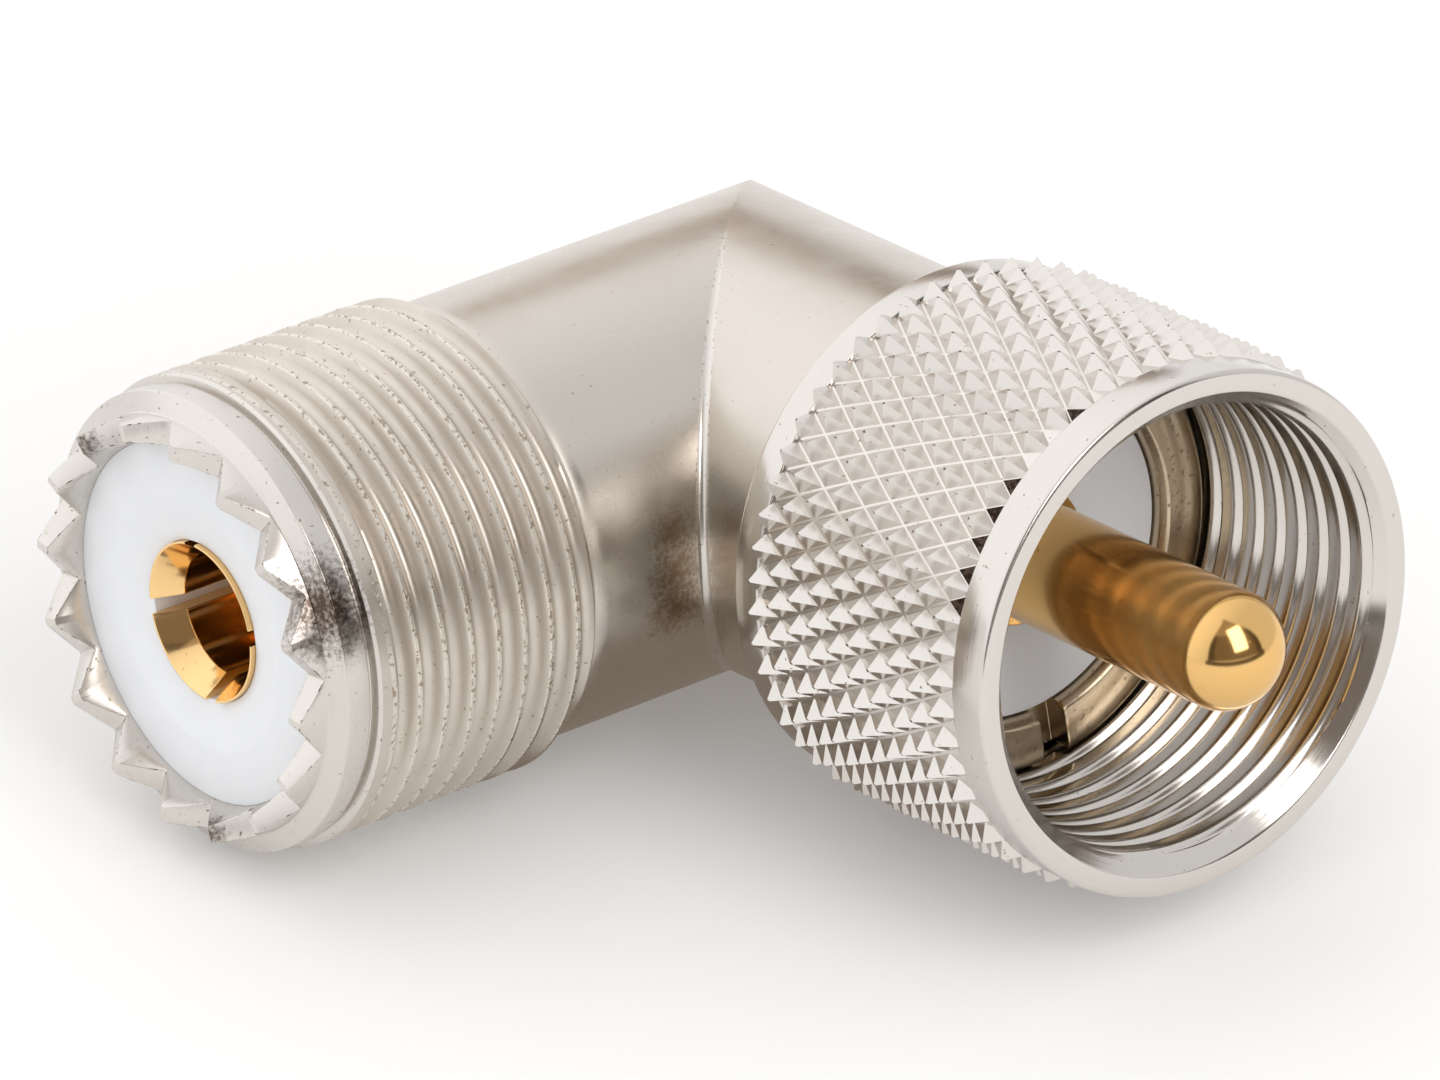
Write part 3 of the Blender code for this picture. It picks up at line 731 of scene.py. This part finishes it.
def elbow_skin():
    """The whole skin of the elbow body, outside and in, swept round both arms at once."""
    vertices = []
    finishes = []
    angles = tooth_angles()
    for angle in angles:
        side = math.cos(angle)
        rise = math.sin(angle)
        fillet = CREASE_FILLET * max(side, 0.0) + PEAK_EASE * max(-side, 0.0)
        across = ARM_RADIUS * side
        column = []

        def on_socket(along, radius, finish="tube"):
            column.append(((radius * side, -along, radius * rise), finish))

        def on_plug(along, radius, finish="tube"):
            column.append(((along, -radius * side, radius * rise), finish))

        for row in rim_rows(angle) + barrel_rows(angle):
            on_socket(*row)
        on_socket(THREAD_BACK - 0.05, ARM_RADIUS - 0.02)
        on_socket(THREAD_BACK - 0.10, ARM_RADIUS)
        on_socket(THREAD_BACK - 0.10 - SMOOTH_RUN, ARM_RADIUS)
        on_socket(across + fillet + SMOOTH_RUN, ARM_RADIUS)
        inner = side > CREASE_SIDE
        on_socket(across + fillet + CREASE_EDGE, ARM_RADIUS, "crest" if inner else "tube")
        for step in range(CREASE_STEPS + 1):
            sweep = math.pi / 2 * step / CREASE_STEPS
            point = (
                across + fillet - fillet * math.cos(sweep),
                -across - fillet + fillet * math.sin(sweep),
                ARM_RADIUS * rise,
            )
            finish = "crest" if step == CREASE_STEPS else "turned"
            column.append((point, finish if inner else "tube"))
        on_plug(across + fillet + CREASE_EDGE, ARM_RADIUS)
        on_plug(across + fillet + SMOOTH_RUN, ARM_RADIUS)
        for row in eased([
            (PLUG_ARM_END - 0.5, ARM_RADIUS),
            (PLUG_ARM_END, ARM_RADIUS),
            (PLUG_ARM_END, SHELL_SEAT),
            (SHELL_SEAT_BACK, SHELL_SEAT),
            (SHELL_SEAT_BACK, ARM_BORE),
            (SHELL_SEAT_BACK - 0.4, ARM_BORE),
        ], 0.08):
            on_plug(*row, "turned")
        on_plug(ARM_BORE * side, ARM_BORE, "turned")
        on_socket(SOCKET_SEAT_BACK, ARM_BORE, "turned")
        on_socket(SOCKET_SEAT_BACK, SOCKET_SEAT, "turned")
        vertices += [point for point, finish in column]
        finishes.append([ELBOW_FINISHES[finish] for point, finish in column])
    rows = len(finishes[0])
    numbers = [number for column in finishes[:-1] for number in column]
    return vertices, joined_columns(len(angles), rows, True), numbers


def build_elbow():
    """The elbow with its arms, thread and toothed rim."""
    add_piece(
        "elbow_body_detailed",
        *elbow_skin(),
        ELBOW_FRAME,
        [SATIN_NICKEL, TURNED_NICKEL, CREST_NICKEL, TOOTH_NICKEL, EDGE_NICKEL, THREAD_NICKEL],
        "adapter",
        "elbow_nickel",
        ["elbow_body"],
    )


def build_socket_fittings():
    """The socket's white bush and the slotted gold contact."""
    bush = eased([
        (SOCKET_BUSH_BACK, CONTACT_RADIUS),
        (SOCKET_BUSH_BACK, SOCKET_BUSH_RADIUS),
        (SOCKET_BUSH_FRONT, SOCKET_BUSH_RADIUS),
        (SOCKET_BUSH_FRONT, SOCKET_DISH_RADIUS),
        (SOCKET_DISH_FRONT, CONTACT_RADIUS + HUG_GAP),
        (CONTACT_BACK - FIT_GAP, CONTACT_RADIUS + HUG_GAP),
        (CONTACT_BACK - FIT_GAP, SHANK_RADIUS + FIT_GAP),
        (SOCKET_BUSH_BACK, SHANK_RADIUS + FIT_GAP),
    ], 0.02)
    add_piece(
        "socket_bush",
        *turned(bush),
        None,
        SOCKET_FRAME,
        [SOCKET_PTFE],
        "adapter",
        "fluoropolymer",
        ["socket_insulator"],
    )
    body = eased([
        (STUD_END, 0.0),
        (STUD_END, STUD_RADIUS),
        (PIN_RADIUS + FIT_GAP, STUD_RADIUS),
        (PIN_RADIUS + FIT_GAP, SHANK_RADIUS),
        (CONTACT_BACK, SHANK_RADIUS),
        (CONTACT_BACK, CONTACT_RADIUS),
        (CONTACT_FRONT, CONTACT_RADIUS),
        (CONTACT_FRONT, CONTACT_MOUTH),
        (CONTACT_FRONT - CONTACT_MOUTH_DEPTH, CONTACT_BORE),
        (CONTACT_FRONT - CONTACT_BORE_DEPTH, CONTACT_BORE),
        (CONTACT_FRONT - CONTACT_BORE_DEPTH, 0.0),
    ], 0.04)
    contact = add_piece(
        "socket_contact_turned",
        *turned(body, 160, hollow=False),
        None,
        SOCKET_FRAME,
        [CONTACT_GOLD],
        "adapter",
        "gold",
        ["socket_contact"],
    )
    slots = [
        box_cutter(
            (3 * CONTACT_RADIUS, SLOT_WIDTH, 2 * SLOT_DEPTH),
            (0.0, 0.0, CONTACT_FRONT),
            SLOT_ANGLE + quarter,
            SOCKET_FRAME,
        )
        for quarter in (0.0, math.pi / 2)
    ]
    cut(contact, slots, 0.03)


def build_plug_fittings():
    """The plug's shell with its notches, the white bush, and the gold pin."""
    shell = eased([
        (SHELL_RIM_BACK - 0.5, SHELL_NECK),
        (SHELL_RIM_BACK, SHELL_NECK),
        (SHELL_RIM_BACK, SHELL_RIM),
        (SHELL_FRONT, SHELL_RIM),
        (SHELL_FRONT, SHELL_MOUTH),
        (SHELL_FRONT - 0.3, SHELL_BORE),
        (PLUG_BUSH_BACK - FIT_GAP, SHELL_BORE),
        (PLUG_BUSH_BACK - FIT_GAP, SHELL_STEP),
        (SHELL_SEAT_BACK + FIT_GAP, SHELL_STEP),
        (SHELL_SEAT_BACK + FIT_GAP, SHELL_RADIUS),
        (SHELL_NECK_BACK, SHELL_RADIUS),
        (SHELL_NECK_BACK, SHELL_NECK),
        (SHELL_NECK_BACK + 0.5, SHELL_NECK),
    ], 0.10)
    sleeve = add_piece(
        "plug_shell_turned",
        *turned(shell),
        None,
        PLUG_FRAME,
        [SHELL_NICKEL],
        "adapter",
        "shell_nickel",
        ["plug_shell"],
    )
    notch = box_cutter(
        (3 * SHELL_RIM, NOTCH_WIDTH, 2 * NOTCH_DEPTH), (0.0, 0.0, SHELL_FRONT), NOTCH_ANGLE, PLUG_FRAME)
    cut(sleeve, [notch], 0.04)
    bush = eased([
        (PLUG_BUSH_BACK + 0.5, PLUG_BUSH_RADIUS),
        (PLUG_BUSH_FRONT, PLUG_BUSH_RADIUS),
        (PLUG_BUSH_FRONT, PIN_RADIUS + FIT_GAP),
        (PLUG_BUSH_BACK, PIN_RADIUS + FIT_GAP),
        (PLUG_BUSH_BACK, PLUG_BUSH_RADIUS),
        (PLUG_BUSH_BACK + 0.4, PLUG_BUSH_RADIUS),
    ], 0.06)
    add_piece(
        "plug_bush",
        *turned(bush),
        None,
        PLUG_FRAME,
        [PLUG_PTFE],
        "adapter",
        "fluoropolymer",
        ["plug_insulator"],
    )
    dome_start = PIN_FRONT - PIN_DOME
    shaft = eased([
        (PIN_BACK, 0.0),
        (PIN_BACK, PIN_RADIUS),
        (PIN_COLLAR_BACK, PIN_RADIUS),
        (PIN_COLLAR_BACK, PIN_COLLAR),
        (PIN_COLLAR_FRONT, PIN_COLLAR),
        (PIN_COLLAR_FRONT, PIN_RADIUS),
        (dome_start - 0.3, PIN_RADIUS),
        (dome_start - 0.05, PIN_RADIUS),
    ], 0.05)
    ball = (PIN_RADIUS ** 2 + PIN_DOME ** 2) / (2 * PIN_DOME)
    reach = math.asin(PIN_RADIUS / ball)
    dome = []
    for step in range(PIN_DOME_STEPS + 1):
        sweep = reach * (1 - step / PIN_DOME_STEPS)
        dome.append((PIN_FRONT - ball * (1 - math.cos(sweep)), ball * math.sin(sweep)))
    add_piece(
        "plug_pin_turned",
        *turned(shaft + dome, 160, hollow=False),
        None,
        PLUG_FRAME,
        [PIN_GOLD],
        "adapter",
        "gold",
        ["plug_pin"],
    )


# The coupling nut: a turned and threaded body under a knurled sleeve.


def nut_rows(angle):
    """Rows round the nut's section: its outside, front face, thread, relief and rear flange."""
    outside = eased([
        (NUT_BACK, FLANGE_BORE + 0.4),
        (NUT_BACK, NUT_RADIUS - NUT_CHAMFER),
        (NUT_BACK + NUT_CHAMFER, NUT_RADIUS),
        (KNURL_BACK, NUT_RADIUS),
        (KNURL_BACK + 0.02, NUT_CORE),
        (RING_BACK, NUT_CORE),
        (RING_BACK, NUT_RADIUS),
        (NUT_FRONT - NUT_EDGE, NUT_RADIUS),
        (NUT_FRONT - 0.29 * NUT_EDGE, NUT_RADIUS - 0.29 * NUT_EDGE),
        (NUT_FRONT, NUT_RADIUS - NUT_EDGE),
        (NUT_FRONT, NUT_MOUTH),
        (NUT_THREAD_FRONT, NUT_CREST),
    ], 0.06)[:-1]
    turns = math.ceil((NUT_THREAD_FRONT - NUT_THREAD_BACK) / THREAD_PITCH) + 2
    thread = []
    for turn in range(turns):
        for share, deep in thread_turn(NUT_THREAD_FORM):
            along = NUT_THREAD_BACK + THREAD_PITCH * (turns - 2 - turn + share + angle / TURN)
            clipped = min(max(along, NUT_THREAD_BACK), NUT_FRONT - 0.06)
            radius = NUT_CREST + NUT_THREAD_DEPTH * deep
            mouth_share = (clipped - NUT_THREAD_FRONT) / (NUT_FRONT - NUT_THREAD_FRONT)
            mouth = NUT_CREST + (NUT_MOUTH - NUT_CREST) * mouth_share
            relief_share = 1 - (clipped - NUT_THREAD_BACK) / NUT_THREAD_RELIEF
            back = NUT_CREST + (RELIEF_RADIUS - NUT_CREST) * relief_share
            thread.append((clipped, max(radius, mouth, min(back, RELIEF_RADIUS))))
    inside = eased([
        (NUT_THREAD_BACK - 0.2, RELIEF_RADIUS),
        (FLANGE_FRONT, RELIEF_RADIUS),
        (FLANGE_FRONT, FLANGE_BORE),
        (NUT_BACK, FLANGE_BORE),
        (NUT_BACK, FLANGE_BORE + 0.3),
    ], 0.06)
    return outside + thread + inside


def knurl_skin():
    """Blunt diamond pyramids with narrow grooves between, on a sleeve that closes inside the nut's body.

    The first row is half pyramids with flat back walls. The last is left low, as the gaps behind the ring."""
    around = 2 * KNURLS
    wide = TURN / around
    across = KNURL_VALLEY * wide
    keep = 1 - KNURL_GROOVE * math.hypot(across, KNURL_HALF_PITCH) / (across * KNURL_HALF_PITCH)
    vertices = []
    faces = []
    numbers = []

    def add(face_points, number):
        first = len(vertices)
        vertices.extend(about_z(*point) for point in face_points)
        faces.append(tuple(range(first, first + len(face_points))))
        numbers.append(number)

    for row in range(KNURL_ROWS + 1):
        along = KNURL_BACK + row * KNURL_HALF_PITCH
        for i in range(row % 2, around, 2):
            angle = i * wide

            def corner(direction, share, radius=KNURL_VALLEY):
                sideways, onward = direction
                return (along + onward * share * KNURL_HALF_PITCH, radius, angle + sideways * share * wide)

            def tip(direction):
                return corner(direction, KNURL_FLAT, crest)

            ring = [(1, 0), (0, 1), (-1, 0), (0, -1)]
            crest = KNURL_CREST
            finishes = (0, 1)
            if row == 0:
                ring = ring[:3]
            elif row == KNURL_ROWS:
                ring = ring[2:] + ring[:1]
                crest = KNURL_VALLEY - KNURL_GROOVE
                # Painted shade: at these angles the low gaps take the near-black nickel, elsewhere the plain
                # knurl nickel.
                finishes = (2, 2) if any(low < angle < high for low, high in PAINTED_SHADE_ENDS) else (0, 0)
            whole = len(ring) == 4
            for start, end in zip(ring, ring[1:] + (ring[:1] if whole else [])):
                add([corner(start, 1), corner(end, 1), corner(end, keep), corner(start, keep)], finishes[0])
                add([corner(start, keep), corner(end, keep), tip(end), tip(start)], finishes[0])
            add([tip(direction) for direction in ring], finishes[1])
            if whole:
                continue
            left, right = (-1, 0), (1, 0)
            top = [
                corner(left, 1),
                corner(left, keep),
                tip(left),
                tip(right),
                corner(right, keep),
                corner(right, 1),
            ]
            for near, far in zip(top, top[1:]):
                add([near, far, (along, KNURL_CORE, far[2]), (along, KNURL_CORE, near[2])], 0)
                if row == 0:
                    add([
                        (KNURL_BACK, KNURL_CORE, near[2]),
                        (KNURL_BACK, KNURL_CORE, far[2]),
                        (KNURL_FRONT, KNURL_CORE, far[2]),
                        (KNURL_FRONT, KNURL_CORE, near[2]),
                    ], 0)
    return vertices, faces, numbers


def build_nut():
    """The nut's turned body and the knurled sleeve round it."""
    add_piece(
        "coupling_nut_body",
        *swept(nut_rows, even_angles(416), about_z, True),
        None,
        PLUG_FRAME,
        [NUT_NICKEL],
        "nut",
        "nut_nickel",
        ["coupling_nut"],
    )
    knurl = add_piece(
        "coupling_nut_knurl",
        *knurl_skin(),
        PLUG_FRAME,
        [KNURL_NICKEL, TIP_NICKEL, KNURL_GAP_PAINTED_SHADE],
        "nut",
        "nut_nickel",
        [],
        sharp=12.0,
    )
    knurl.modifiers.clear()


# Camera, floor and light.


def set_camera():
    """A long lens that looks down at the elbow from between the two mouths."""
    camera = bpy.data.cameras.new("camera")
    camera.sensor_width = 36.0
    camera.lens = CAMERA_LENS
    camera.clip_start = 0.05
    camera.clip_end = 20.0
    right = Vector(CAMERA_RIGHT)
    down = Vector(CAMERA_DOWN)
    ahead = right.cross(down)
    turn = Matrix((right, -down, -ahead)).transposed().to_4x4()
    turn.translation = Vector(CAMERA_PLACE) * MM
    obj = add_object("camera", camera)
    obj.matrix_world = ELBOW_FRAME @ turn
    bpy.context.scene.camera = obj


def set_floor():
    """White paper under the adapter, lifted to white for the eye while it keeps the adapter's soft shadow."""
    made, tree = new_material("white_paper_floor")
    paper = add_node(tree, "ShaderNodeBsdfDiffuse", {"Color": from_hex("#DDDCDA")})
    rays = add_node(tree, "ShaderNodeLightPath").outputs
    seen = rays["Is Camera Ray"]
    for ray in ("Is Glossy Ray", "Is Transmission Ray"):
        seen = add_node(tree, "ShaderNodeMath", {0: seen, 1: rays[ray]}, operation="ADD").outputs[0]
    lift = add_node(tree, "ShaderNodeMath", {0: seen, 1: FLOOR_LIFT}, operation="MULTIPLY")
    glow = add_node(tree, "ShaderNodeEmission", {"Strength": lift.outputs[0]})
    shader = add_node(tree, "ShaderNodeAddShader", {0: paper.outputs[0], 1: glow.outputs[0]})
    add_node(tree, "ShaderNodeOutputMaterial", {"Surface": shader.outputs[0]})
    bm = bmesh.new()
    bmesh.ops.create_grid(bm, x_segments=1, y_segments=1, size=FLOOR_HALF)
    mesh = mesh_from("floor", bm)
    mesh.materials.append(made)
    add_object("floor", mesh)


def set_world():
    """A pale tent all round, brightest high up at the back on the left."""
    world = bpy.data.worlds.new("tent")
    bpy.context.scene.world = world
    world.use_nodes = True
    tree = world.node_tree
    tree.nodes.clear()
    direction = add_node(tree, "ShaderNodeTexCoord").outputs["Generated"]
    brightest = sky_point(*TENT_BRIGHTEST, 1.0) - sky_point(0, 0, 0)
    facing = add_node(tree, "ShaderNodeVectorMath", {0: direction, 1: brightest}, operation="DOT_PRODUCT")
    strength = add_node(
        tree,
        "ShaderNodeMapRange",
        {"Value": facing.outputs["Value"], "From Max": 0.85, "To Min": TENT_DIM, "To Max": TENT_BRIGHT},
    ).outputs["Result"]
    shader = add_node(tree, "ShaderNodeBackground", {"Color": from_hex("#FDFDFE"), "Strength": strength})
    add_node(tree, "ShaderNodeOutputWorld", {"Surface": shader.outputs[0]})


def sky_point(azimuth, elevation, distance):
    """A point in a direction from the elbow, by degrees round from the plug arm and up."""
    flat = math.cos(math.radians(elevation))
    return ELBOW_FRAME @ Vector((
        distance * flat * math.cos(math.radians(azimuth)),
        distance * flat * math.sin(math.radians(azimuth)),
        distance * math.sin(math.radians(elevation)),
    ))


def add_softbox(name, azimuth, elevation, distance, width, height, radiance):
    """A soft upright lamp that faces the elbow."""
    light = bpy.data.lights.new(name, "AREA")
    light.shape = "RECTANGLE"
    light.size = width
    light.size_y = height
    light.energy = radiance * math.pi * width * height
    obj = add_object(name, light)
    place = sky_point(azimuth, elevation, distance)
    obj.location = place
    obj.rotation_euler = (sky_point(0, 0, 0) - place).to_track_quat("-Z", "Y").to_euler()


def add_card(name, pairs, glow):
    """A dim card outside the frame, between pairs of points; only the metal's reflections show it."""
    made, tree = new_material(name)
    shader = add_node(tree, "ShaderNodeEmission", {"Color": from_hex("#FFEBDA"), "Strength": glow})
    add_node(tree, "ShaderNodeOutputMaterial", {"Surface": shader.outputs[0]})
    bm = bmesh.new()
    rungs = [[bm.verts.new(point) for point in pair] for pair in pairs]
    for (low, high), (next_low, next_high) in zip(rungs, rungs[1:]):
        bm.faces.new((low, next_low, next_high, high))
    mesh = mesh_from(name, bm)
    mesh.materials.append(made)
    obj = add_object(name, mesh)
    obj.visible_camera = False
    obj.visible_diffuse = False
    obj.visible_shadow = False


def arc(first, last, low, high):
    """Pairs of points along an arc round the elbow, low and high, by distance out and height in metres."""
    pairs = []
    for azimuth in range(first, last + 1, 4):
        pair = []
        for distance, height in (low, high):
            place = sky_point(azimuth, 0, distance)
            pair.append((place.x, place.y, height))
        pairs.append(pair)
    return pairs


def upright(azimuths, low, high, distance):
    """Pairs of points that stand one over the other at each azimuth, at two elevations and one distance."""
    return [(sky_point(azimuth, low, distance), sky_point(azimuth, high, distance)) for azimuth in azimuths]


def set_cards():
    """What the metal sees dark: the table's edge, the elbow's own shade, the tent's back and its opening.

    The opening round the camera is in narrow columns that lean together at the top, and hides no lamp."""
    add_card("table_front", arc(-64, 36, (0.25, 0.002), (0.25, 0.034)), TABLE_GLOW)
    add_card("elbow_shade", arc(0, 360, (0.0001, 0.0004), (0.0155, 0.0004)), SHADE_GLOW)
    add_card("tent_back", upright((129, 142, 155), 22, 41, 0.062), BACK_GLOW)
    add_card("tent_seam", upright((124, 133, 142), 28, 37, 0.0585), SEAM_GLOW)
    first, last = OPENING_FOOT
    edges = [first + (last - first) * column / OPENING_COLUMNS for column in range(OPENING_COLUMNS + 1)]
    for column, sides in enumerate(zip(edges, edges[1:])):
        strip = []
        for step in range(OPENING_STEPS + 1):
            share = step / OPENING_STEPS
            rise = OPENING_TOP[1] * share
            leaning = [side + (OPENING_TOP[0] - side) * share ** 3 for side in sides]
            strip.append(tuple(sky_point(azimuth, rise, OPENING_DISTANCE) for azimuth in leaning))
        glow = OPENING_EDGE_GLOW if column in (0, OPENING_COLUMNS - 1) else OPENING_GLOW
        add_card(f"tent_opening_{column}", strip[:OPENING_SPLIT + 1], glow)
        add_card(f"tent_top_{column}", strip[OPENING_SPLIT:], OPENING_TOP_GLOW)


build_elbow()
build_socket_fittings()
build_plug_fittings()
build_nut()
set_camera()
set_floor()
set_world()
set_cards()
add_softbox("key_softbox", azimuth=-4, elevation=33, distance=0.38, width=0.17, height=0.28, radiance=3.2)
bpy.context.scene.view_settings.view_transform = "Standard"
